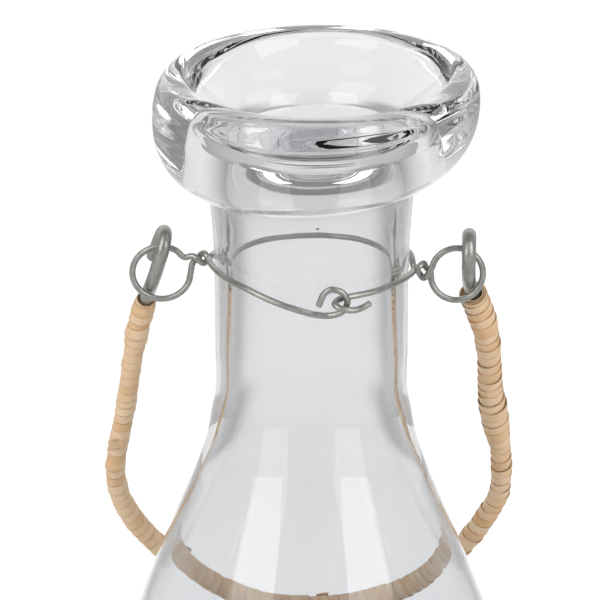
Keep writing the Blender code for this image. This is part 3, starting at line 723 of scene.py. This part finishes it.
def strip_rings(core, wrap, first, turns, settings, seed, lifts, tucks):
    """Section rings of one strip wound round the core, and the length along them.

    A ring's centre runs along the core while it turns round it. Its section is flat with a low crown,
    its near edge on the wire and its far edge lapped over the next turn. The radius wanders from turn
    to turn, and both ends lift off over their last part of a turn. Over the turns in tucks, at the start
    and at the end, the strip stays in its place and winds out from the wire to the wrap's full radius.
    """
    count = round(turns * STATIONS_A_TURN) + 1
    turn = np.linspace(0, 2 * math.pi * turns, count)
    in_turns = turn / (2 * math.pi)
    run = np.clip(in_turns, tucks[0], turns - tucks[1]) - tucks[0]
    along = first + WRAP_PITCH * run
    centre = points_at(core, along)
    step = WRAP_PITCH / 4
    forward = unit(points_at(core, along + step) - points_at(core, along - step))
    across = unit(np.array([0.0, 1.0, 0.0]) - forward * forward[:, 1:2])
    beside = np.cross(forward, across)
    outward = across * np.cos(turn)[:, None] + beside * np.sin(turn)[:, None]

    wrap_start, wrapped = wrap
    shares = np.array(WRAP_THICKNESS_SHARES)
    extra = np.interp((along - wrap_start) / wrapped, shares[:, 0], shares[:, 1]) * MM
    uneven = wander(in_turns, seed, *RADIUS_WANDER)
    base = HANDLE_WIRE_RADIUS + WRAP_UNDERLAY + extra + uneven
    lifted = 0.0
    for from_end, lift, tucked in zip((in_turns, turns - in_turns), lifts, tucks):
        if tucked:
            grown = fade(from_end, TUCK_START_TURNS, tucked)
            base = HANDLE_WIRE_RADIUS + (base - HANDLE_WIRE_RADIUS) * grown
        lifted = lifted + lift * MM * np.clip(1 - from_end / LIFT_TURNS, 0, 1) ** LIFT_POWER
    slide = wander(in_turns, seed + 1, *SLIDE_WANDER)
    width = settings.strip_width * (1 + wander(in_turns, seed + 2, *WIDTH_WANDER))

    share = np.linspace(-1, 1, STRIP_COLUMNS)
    crown = STRIP_CROWN * (1 - share**2)
    thickness = settings.strip_thickness
    lap = thickness * STRIP_LAP
    outer = base[:, None] + lap * (share + 1) / 2 + crown + thickness + lifted[:, None]
    inner = base[:, None] + lap * (share[::-1] + 1) / 2 + lifted[:, None]
    sideways = share * width[:, None] / 2 + slide[:, None]
    radii = np.hstack([outer, inner])
    offsets = np.hstack([sideways, sideways[:, ::-1]])
    rings = centre[:, None] + outward[:, None] * radii[..., None] + forward[:, None] * offsets[..., None]
    return rings, distances_along(rings[:, STRIP_COLUMNS // 2])


def strip_mesh(name, core, wrap, number, settings):
    """One bamboo strip as a closed ribbon, with its own UV map along and across the strip.

    wrap is where the wrapped length starts on the core, and that length.
    """
    wrap_start, wrapped = wrap
    share = wrapped / WRAP_STRIPS
    turns = share / WRAP_PITCH + STRIP_LAP_TURNS
    tucks = (0.0, 0.0)
    if number == 0:
        tucks = (TUCK_TURNS, 0.0)
    if number == WRAP_STRIPS - 1:
        turns = share / WRAP_PITCH - LAST_STRIP_CUT_TURNS
        tucks = (0.0, TUCK_TURNS)
    turns += sum(tucks)
    first = wrap_start + WRAP_PITCH / 2 + number * share
    seed = STRIP_SEED + STRIP_SEED_STEP * number
    rings, length = strip_rings(core, wrap, first, turns, settings, seed, STRIP_LIFTS[number], tucks)
    rings = turned(rings, HANDLE_REST, HINGE_HEIGHT)
    width = settings.strip_width
    there = np.linspace(0, width, STRIP_COLUMNS)
    back = np.linspace(width, 0, STRIP_COLUMNS)
    across = np.concatenate([there, back, [0.0]])
    mesh = tube_mesh(name, rings, rings[0].mean(0), rings[-1].mean(0), length + number * GRAIN_STEP, across)
    mesh.set_sharp_from_angle(angle=STRIP_SHARP_ANGLE)
    return mesh


def feed(tree, socket, value):
    """Sets the socket to the value, or links it where the value is a socket itself."""
    if isinstance(value, bpy.types.NodeSocket):
        tree.links.new(value, socket)
    else:
        socket.default_value = value


def feed_inputs(tree, node, **values):
    """Feeds the node's inputs by name; an underline in a name stands for a space."""
    for label, value in values.items():
        feed(tree, node.inputs[label.replace("_", " ")], value)


def new_node(tree, kind, **values):
    """A new shader node of the kind, its inputs fed by name."""
    node = tree.nodes.new("ShaderNode" + kind)
    feed_inputs(tree, node, **values)
    return node


def math_node(tree, operation, first, second=0.5):
    """A Math node on two sockets or numbers; gives its result's socket."""
    node = tree.nodes.new("ShaderNodeMath")
    node.operation = operation
    feed(tree, node.inputs[0], first)
    feed(tree, node.inputs[1], second)
    return node.outputs[0]


def plus(tree, first, second):
    """The sum of two sockets or numbers."""
    return math_node(tree, "ADD", first, second)


def minus(tree, first, second):
    """The first socket or number less the second."""
    return math_node(tree, "SUBTRACT", first, second)


def times(tree, first, second):
    """The product of two sockets or numbers."""
    return math_node(tree, "MULTIPLY", first, second)


def ramp_node(tree, value, low, high):
    """Maps value from low..high to 0..1 on a smooth S, held at both ends."""
    node = new_node(tree, "MapRange", Value=value, From_Min=low, From_Max=high)
    node.interpolation_type = "SMOOTHSTEP"
    return node.outputs["Result"]


def noise_node(tree, vector, scale, detail, roughness=0.5):
    """Noise of the scale on the vector; gives its value's socket."""
    node = new_node(tree, "TexNoise", Vector=vector, Scale=scale, Detail=detail, Roughness=roughness)
    return node.outputs["Fac"]


def bump_node(tree, height, strength, distance):
    """A Bump node of the height; gives its normal's socket."""
    return new_node(tree, "Bump", Strength=strength, Distance=distance, Height=height).outputs["Normal"]


def split(tree, vector):
    """The sockets of the vector's three parts."""
    return new_node(tree, "SeparateXYZ", Vector=vector).outputs


def coordinates(tree):
    """The sockets of the surface's coordinates, by name."""
    return tree.nodes.new("ShaderNodeTexCoord").outputs


def mix_colours(tree, share, first, second):
    """Mixes two colours, given as sockets or values, by the share."""
    node = tree.nodes.new("ShaderNodeMix")
    node.data_type = "RGBA"
    for place, value in ((0, share), (6, first), (7, second)):
        feed(tree, node.inputs[place], value)
    return node.outputs[2]


def shade(colour, share=1.0):
    """The share of the colour, as an opaque colour."""
    return (*(share * value for value in colour), 1.0)


def new_group(name, *inputs):
    """A node group with the named inputs and a mask to put out; gives it and both ends' sockets."""
    group = bpy.data.node_groups.new(name, "ShaderNodeTree")
    for label, kind, default in inputs:
        group.interface.new_socket(label, in_out="INPUT", socket_type=kind).default_value = default
    group.interface.new_socket("Mask", in_out="OUTPUT", socket_type="NodeSocketFloat")
    return group, group.nodes.new("NodeGroupInput").outputs, group.nodes.new("NodeGroupOutput").inputs


def mottle_group():
    """Patches of two sizes that lighten and darken a surface; gives a mask from 0 to 1."""
    group, given, result = new_group(
        "mottle", ("Vector", "NodeSocketVector", (0, 0, 0)), ("Scale", "NodeSocketFloat", 100.0)
    )
    large = noise_node(group, given["Vector"], given["Scale"], 3.0)
    small = noise_node(group, given["Vector"], times(group, given["Scale"], 4.3), 4.0, 0.6)
    both = plus(group, times(group, large, 0.65), times(group, small, 0.35))
    group.links.new(ramp_node(group, both, 0.32, 0.68), result["Mask"])
    return group


def streaks_group():
    """Fine lines along the U of a run, as fibres or drawing marks; gives a mask from 0 to 1."""
    group, given, result = new_group(
        "streaks",
        ("Vector", "NodeSocketVector", (0, 0, 0)),
        ("Lines a metre", "NodeSocketFloat", 4000.0),
        ("Length share", "NodeSocketFloat", 0.02),
    )
    along, across, _height = split(group, given["Vector"])
    run = new_node(group, "CombineXYZ", X=times(group, along, given["Length share"]), Y=across)
    lines = noise_node(group, run.outputs[0], given["Lines a metre"], 2.0)
    group.links.new(ramp_node(group, lines, 0.35, 0.65), result["Mask"])
    return group


GROUPS = {"mottle": mottle_group, "streaks": streaks_group}


def placed_group(tree, name, vector, **values):
    """The named group, made once, read at the vector and with its own values; gives its mask."""
    node = tree.nodes.new("ShaderNodeGroup")
    node.node_tree = bpy.data.node_groups.get(name) or GROUPS[name]()
    feed_inputs(tree, node, Vector=vector, **values)
    return node.outputs["Mask"]


def new_material(name):
    """A material with only its Principled shader; gives it, its tree and the shader."""
    material = bpy.data.materials.new(name)
    material.use_nodes = True
    return material, material.node_tree, material.node_tree.nodes["Principled BSDF"]


def glass_material(settings):
    """Clear blown glass: a faint grey that varies in patches and deepens in the lip, ripples and seeds."""
    material, tree, shader = new_material("clear_glass")
    place = coordinates(tree)["Object"]
    pale = shade(settings.colour)
    patches = placed_group(tree, "mottle", place, Scale=28.0)
    clear = mix_colours(tree, patches, pale, shade(settings.colour, PATCH_TINT))
    lip_root = COLLAR_HEIGHT + LIP_UNDERSIDE
    in_lip = ramp_node(tree, split(tree, place)[2], COLLAR_HEIGHT + LIP_UNDERSIDE / 2, lip_root)
    specks = new_node(tree, "TexVoronoi", Vector=place, Scale=70.0, Randomness=1.0)
    seeds = ramp_node(tree, specks.outputs["Distance"], 0.07, 0.0)
    height = plus(tree, times(tree, seeds, settings.seeds), noise_node(tree, place, 45.0, 1.0))
    colour = mix_colours(tree, in_lip, clear, shade(settings.colour, LIP_TINT))
    normal = bump_node(tree, height, 0.12, 1.0 * MM)
    feed_inputs(tree, shader, Base_Color=colour, Normal=normal)
    feed_inputs(tree, shader, Roughness=0.0, IOR=1.5, Transmission_Weight=1.0)
    let_lamps_through(tree, shader, pale)
    return material


def let_lamps_through(tree, shader, colour):
    """Mixes the shader with a transparent one for shadow rays, so that lamps shine through the glass."""
    clear = new_node(tree, "BsdfTransparent", Color=colour)
    mix = new_node(tree, "MixShader", Fac=new_node(tree, "LightPath").outputs["Is Shadow Ray"])
    tree.links.new(shader.outputs["BSDF"], mix.inputs[1])
    tree.links.new(clear.outputs["BSDF"], mix.inputs[2])
    tree.links.new(mix.outputs["Shader"], tree.nodes["Material Output"].inputs["Surface"])


def wire_material(settings):
    """Dull galvanised wire: grey-green zinc in patches, faint drawing marks and a soft uneven gloss."""
    material, tree, shader = new_material("galvanised_wire_finish")
    patches = placed_group(tree, "mottle", coordinates(tree)["Object"], Scale=260.0)
    run = coordinates(tree)["UV"]
    lines = placed_group(tree, "streaks", run, Lines_a_metre=2600.0, Length_share=0.05)
    marks = times(tree, lines, 0.4)
    dark = shade(settings.colour, WIRE_DARK)
    zinc = mix_colours(tree, patches, dark, shade(settings.colour, WIRE_LIGHT))
    gloss = plus(tree, 0.28, times(tree, patches, 0.10))
    feed_inputs(tree, shader, Base_Color=mix_colours(tree, marks, zinc, dark), Metallic=0.9, Roughness=gloss)
    feed_inputs(tree, shader, Normal=bump_node(tree, plus(tree, patches, marks), 0.35, 0.12 * MM))
    return material


def bamboo_material(settings):
    """Split bamboo: fibres along the strip, turns of paler and deeper tan, and painted shade along the
    strips' edges.
    """
    material, tree, shader = new_material("bamboo_strip")
    run = coordinates(tree)["UV"]
    fibres = placed_group(tree, "streaks", run, Lines_a_metre=5200.0, Length_share=0.012)
    broad = placed_group(tree, "streaks", run, Lines_a_metre=1500.0, Length_share=0.02)
    along, across, _height = split(tree, run)
    lengthwise = new_node(tree, "CombineXYZ", X=along).outputs[0]
    turns = ramp_node(tree, noise_node(tree, lengthwise, 46.0, 3.0), 0.40, 0.66)
    share = plus(tree, times(tree, turns, 0.62), times(tree, fibres, 0.14))
    share = plus(tree, share, times(tree, broad, 0.18))
    body = mix_colours(tree, share, shade(settings.pale), shade(settings.tan))
    # Painted shade: each strip's edges are darkened towards a deep tan where the turns lap, stronger in
    # patches along the strip
    off_middle = math_node(tree, "ABSOLUTE", minus(tree, across, settings.strip_width / 2))
    edge = ramp_node(tree, off_middle, settings.strip_width * 0.40, settings.strip_width * 0.5)
    seam_shade_patches = ramp_node(tree, noise_node(tree, lengthwise, 90.0, 1.0), 0.36, 0.62)
    depth = plus(tree, LEAST_SEAM_SHADE, times(tree, seam_shade_patches, 1.0 - LEAST_SEAM_SHADE))
    colour = mix_colours(tree, times(tree, edge, depth), body, shade(settings.tan, SEAM_PAINTED_SHADE))
    gloss = plus(tree, 0.44, times(tree, fibres, 0.18))
    normal = bump_node(tree, fibres, 0.4, 0.08 * MM)
    feed_inputs(tree, shader, Base_Color=colour, Roughness=gloss, Normal=normal)
    return material


def background_share(tree):
    """Two masks: rays from the camera, mirrored or through glass, and those from the camera alone."""
    path = tree.nodes.new("ShaderNodeLightPath").outputs
    mirrored = math_node(tree, "MAXIMUM", path["Is Glossy Ray"], path["Is Transmission Ray"])
    return math_node(tree, "MAXIMUM", path["Is Camera Ray"], mirrored), path["Is Camera Ray"]


def make_world(settings):
    """A white room for what the camera sees, darker high up and in front for what the glass mirrors.

    On dull surfaces it is an even fill.
    """
    world = bpy.data.worlds.new("studio")
    bpy.context.scene.world = world
    world.use_nodes = True
    tree = world.node_tree
    _side, away, up = split(tree, coordinates(tree)["Generated"])
    white = times(tree, ramp_node(tree, away, *ROOM_BEHIND), ramp_node(tree, up, *ROOM_LOW))
    room = plus(tree, ROOM_SHADE, times(tree, white, 1.0 - ROOM_SHADE))
    shown, camera = background_share(tree)
    picture = times(tree, math_node(tree, "MAXIMUM", room, camera), shown)
    lit = times(tree, minus(tree, 1.0, shown), settings.fill)
    strength = plus(tree, picture, lit)
    feed_inputs(tree, tree.nodes["Background"], Strength=strength, Color=shade(WHITE))


def floor_material():
    """Pale floor: dull white that keeps shadows, brought up to white where the background shows.

    Through glass and in mirrors only the field behind the bottle glows, and the floor beside it is a
    little greyer, so that the glass gets its edges.
    """
    material, tree, shader = new_material("pale_floor")
    side, away, _height = split(tree, coordinates(tree)["Object"])
    beside = ramp_node(tree, math_node(tree, "ABSOLUTE", side), *FIELD_SIDES)
    field = times(tree, beside, ramp_node(tree, away, *FIELD_BACK))
    shown, camera = background_share(tree)
    bent = minus(tree, shown, camera)
    seen = times(tree, camera, FLOOR_GLOW)
    through = times(tree, bent, times(tree, field, FIELD_GLOW))
    shaded = times(tree, bent, minus(tree, 1.0, field))
    white = times(tree, minus(tree, 1.0, shaded), FLOOR_WHITE)
    colour = plus(tree, white, times(tree, shaded, FLOOR_SHADE))
    feed_inputs(tree, shader, Base_Color=colour, Roughness=0.9, Specular_IOR_Level=0.0)
    feed_inputs(tree, shader, Emission_Color=shade(WHITE), Emission_Strength=plus(tree, seen, through))
    return material


def make_floor():
    """A wide round floor under the bottle, its rings closer together near the middle."""
    angle = np.linspace(0, 2 * math.pi, FLOOR_COLUMNS, endpoint=False)
    radius = FLOOR_REACH * np.linspace(0.1, 1.0, FLOOR_RINGS)[:, None] ** 1.5
    x = radius * np.cos(angle)
    points = np.stack([x, radius * np.sin(angle), 0 * x], -1).reshape(-1, 3).tolist()
    quads = tube_faces(FLOOR_RINGS, FLOOR_COLUMNS)[:, ::-1].tolist()
    fan = cap_faces(0, FLOOR_COLUMNS, len(points), True).tolist()
    mesh = bpy.data.meshes.new("floor")
    mesh.from_pydata([*points, (0.0, 0.0, 0.0)], [], quads + fan)
    mesh.materials.append(floor_material())
    floor = add_object("floor", mesh)


def make_lamp(name, azimuth, brightness):
    """A soft window that faces the neck; brightness is its surface's radiance."""
    lamp = bpy.data.lights.new(name, "AREA")
    lamp.shape = "RECTANGLE"
    lamp.size = WINDOW_WIDTH
    lamp.size_y = WINDOW_HEIGHT
    lamp.energy = brightness * math.pi * WINDOW_WIDTH * WINDOW_HEIGHT
    thing = add_object(name, lamp)
    level = math.cos(WINDOW_ELEVATION)
    way = Vector((math.sin(azimuth) * level, -math.cos(azimuth) * level, math.sin(WINDOW_ELEVATION)))
    thing.location = Vector((0.0, 0.0, COLLAR_HEIGHT)) + way * WINDOW_DISTANCE
    thing.rotation_mode = "QUATERNION"
    thing.rotation_quaternion = way.to_track_quat("Z", "Y")
    thing.visible_camera = False


def make_camera(settings):
    """The photograph's camera: it looks down at the collar, which lies off the picture's middle."""
    camera = bpy.data.cameras.new("camera")
    thing = add_object("camera", camera)
    bpy.context.scene.camera = thing
    camera.sensor_width = SENSOR_WIDTH
    camera.lens = SENSOR_WIDTH * PIXELS_A_METRE * settings.distance / VIEW_PIXELS
    back = Vector((0.0, -math.cos(settings.elevation), math.sin(settings.elevation)))
    thing.location = Vector((0.0, 0.0, COLLAR_HEIGHT)) + back * settings.distance
    thing.rotation_mode = "QUATERNION"
    thing.rotation_quaternion = (-back).to_track_quat("-Z", "Y")
    camera.shift_x = -(COLLAR_PIXEL_X / VIEW_PIXELS - 0.5)
    camera.shift_y = COLLAR_PIXEL_Y / VIEW_PIXELS - 0.5


def bend_wire(scene, node, body, line, radius, columns, seed):
    """The wire that stands for the node, bent along the line; both wires share one material."""
    name = node + "_bent"
    mesh = wire_mesh(name, line, radius, columns, scene.bottle_wire.unevenness, seed)
    finish = bpy.data.materials.get("galvanised_wire_finish") or wire_material(scene.bottle_wire)
    new_piece(name, mesh, finish, body, "galvanised_wire", node)


class BOTTLE_OT_blow_glass(bpy.types.Operator):
    """Blow the glass bottle with its heavy lip"""

    bl_idname = "bottle.blow_glass"
    bl_label = "Blow the glass"

    def execute(self, context):
        settings = context.scene.bottle_glass
        material = glass_material(settings)
        mesh = bottle_mesh(settings)
        new_piece("glass_bottle_blown", mesh, material, "bottle", "clear_glass", "glass_bottle")
        return {"FINISHED"}


class BOTTLE_OT_bend_neck_wire(bpy.types.Operator):
    """Bend the collar's wire with its twists, eyes and clasp"""

    bl_idname = "bottle.bend_neck_wire"
    bl_label = "Bend the neck wire"

    def execute(self, context):
        size = (NECK_WIRE_RADIUS, NECK_WIRE_COLUMNS, NECK_WIRE_SEED)
        bend_wire(context.scene, "neck_wire", "collar", neck_wire_line(), *size)
        return {"FINISHED"}


class BOTTLE_OT_bend_handle_wire(bpy.types.Operator):
    """Bend the handle's stiff wire with its two crooks"""

    bl_idname = "bottle.bend_handle_wire"
    bl_label = "Bend the handle wire"

    def execute(self, context):
        line = turned(handle_line()[0], HANDLE_REST, HINGE_HEIGHT)
        size = (HANDLE_WIRE_RADIUS, HANDLE_WIRE_COLUMNS, HANDLE_WIRE_SEED)
        bend_wire(context.scene, "handle_wire", "handle", line, *size)
        return {"FINISHED"}


class BOTTLE_OT_wind_bamboo(bpy.types.Operator):
    """Wind the six bamboo strips on the handle"""

    bl_idname = "bottle.wind_bamboo"
    bl_label = "Wind the bamboo"

    def execute(self, context):
        settings = context.scene.bottle_wrap
        material = bamboo_material(settings)
        core, left_bare, right_bare = handle_line()
        wrapped = distances_along(core)[-1] - left_bare - right_bare
        for number in range(WRAP_STRIPS):
            name = f"bamboo_strip_{number + 1}"
            mesh = strip_mesh(name, core, (left_bare, wrapped), number, settings)
            new_piece(name, mesh, material, "handle", "bamboo_strip", f"wrap_strip_{number + 1}")
        return {"FINISHED"}


class BOTTLE_OT_set_stage(bpy.types.Operator):
    """Set the floor, lamps, white room and camera"""

    bl_idname = "bottle.set_stage"
    bl_label = "Set the stage"

    def execute(self, context):
        settings = context.scene.bottle_stage
        context.scene.view_settings.view_transform = "Standard"
        cycles = context.scene.cycles
        cycles.max_bounces = GLASS_BOUNCES
        cycles.glossy_bounces = GLASS_BOUNCES
        cycles.transmission_bounces = GLASS_BOUNCES
        make_world(settings)
        make_floor()
        make_lamp("left_window", -WINDOW_AZIMUTH, settings.window)
        make_lamp("right_window", WINDOW_AZIMUTH, settings.window)
        make_camera(settings)
        return {"FINISHED"}


class BOTTLE_PT_panel(bpy.types.Panel):
    """The bottle's pieces and their settings in the sidebar"""

    bl_label = "Bottle"
    bl_idname = "BOTTLE_PT_panel"
    bl_space_type = "VIEW_3D"
    bl_region_type = "UI"
    bl_category = "Bottle"

    def draw(self, context):
        scene = context.scene
        wires = ("bottle.bend_neck_wire", "bottle.bend_handle_wire")
        parts = (
            (scene.bottle_glass, ("colour", "waviness", "seeds"), ("bottle.blow_glass",)),
            (scene.bottle_wire, ("colour", "unevenness"), wires),
            (scene.bottle_wrap, ("strip_width", "strip_thickness", "pale", "tan"), ("bottle.wind_bamboo",)),
            (scene.bottle_stage, ("elevation", "distance", "window", "fill"), ("bottle.set_stage",)),
        )
        for settings, names, operators in parts:
            box = self.layout.box()
            for name in names:
                box.prop(settings, name)
            for operator in operators:
                box.operator(operator)


SETTINGS = (
    ("bottle_glass", GlassSettings), ("bottle_wire", WireSettings),
    ("bottle_wrap", WrapSettings), ("bottle_stage", StageSettings),
)
CLASSES = (
    *(kind for _name, kind in SETTINGS),
    BOTTLE_OT_blow_glass,
    BOTTLE_OT_bend_neck_wire,
    BOTTLE_OT_bend_handle_wire,
    BOTTLE_OT_wind_bamboo,
    BOTTLE_OT_set_stage,
    BOTTLE_PT_panel,
)


def register():
    for each in CLASSES:
        bpy.utils.register_class(each)
    for name, kind in SETTINGS:
        setattr(bpy.types.Scene, name, bpy.props.PointerProperty(type=kind))


def unregister():
    for name, _kind in SETTINGS:
        delattr(bpy.types.Scene, name)
    for each in reversed(CLASSES):
        bpy.utils.unregister_class(each)


def main():
    """Registers the add-on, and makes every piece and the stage."""
    register()
    bpy.ops.bottle.blow_glass()
    bpy.ops.bottle.bend_neck_wire()
    bpy.ops.bottle.bend_handle_wire()
    bpy.ops.bottle.wind_bamboo()
    bpy.ops.bottle.set_stage()


if __name__ == "__main__":
    main()
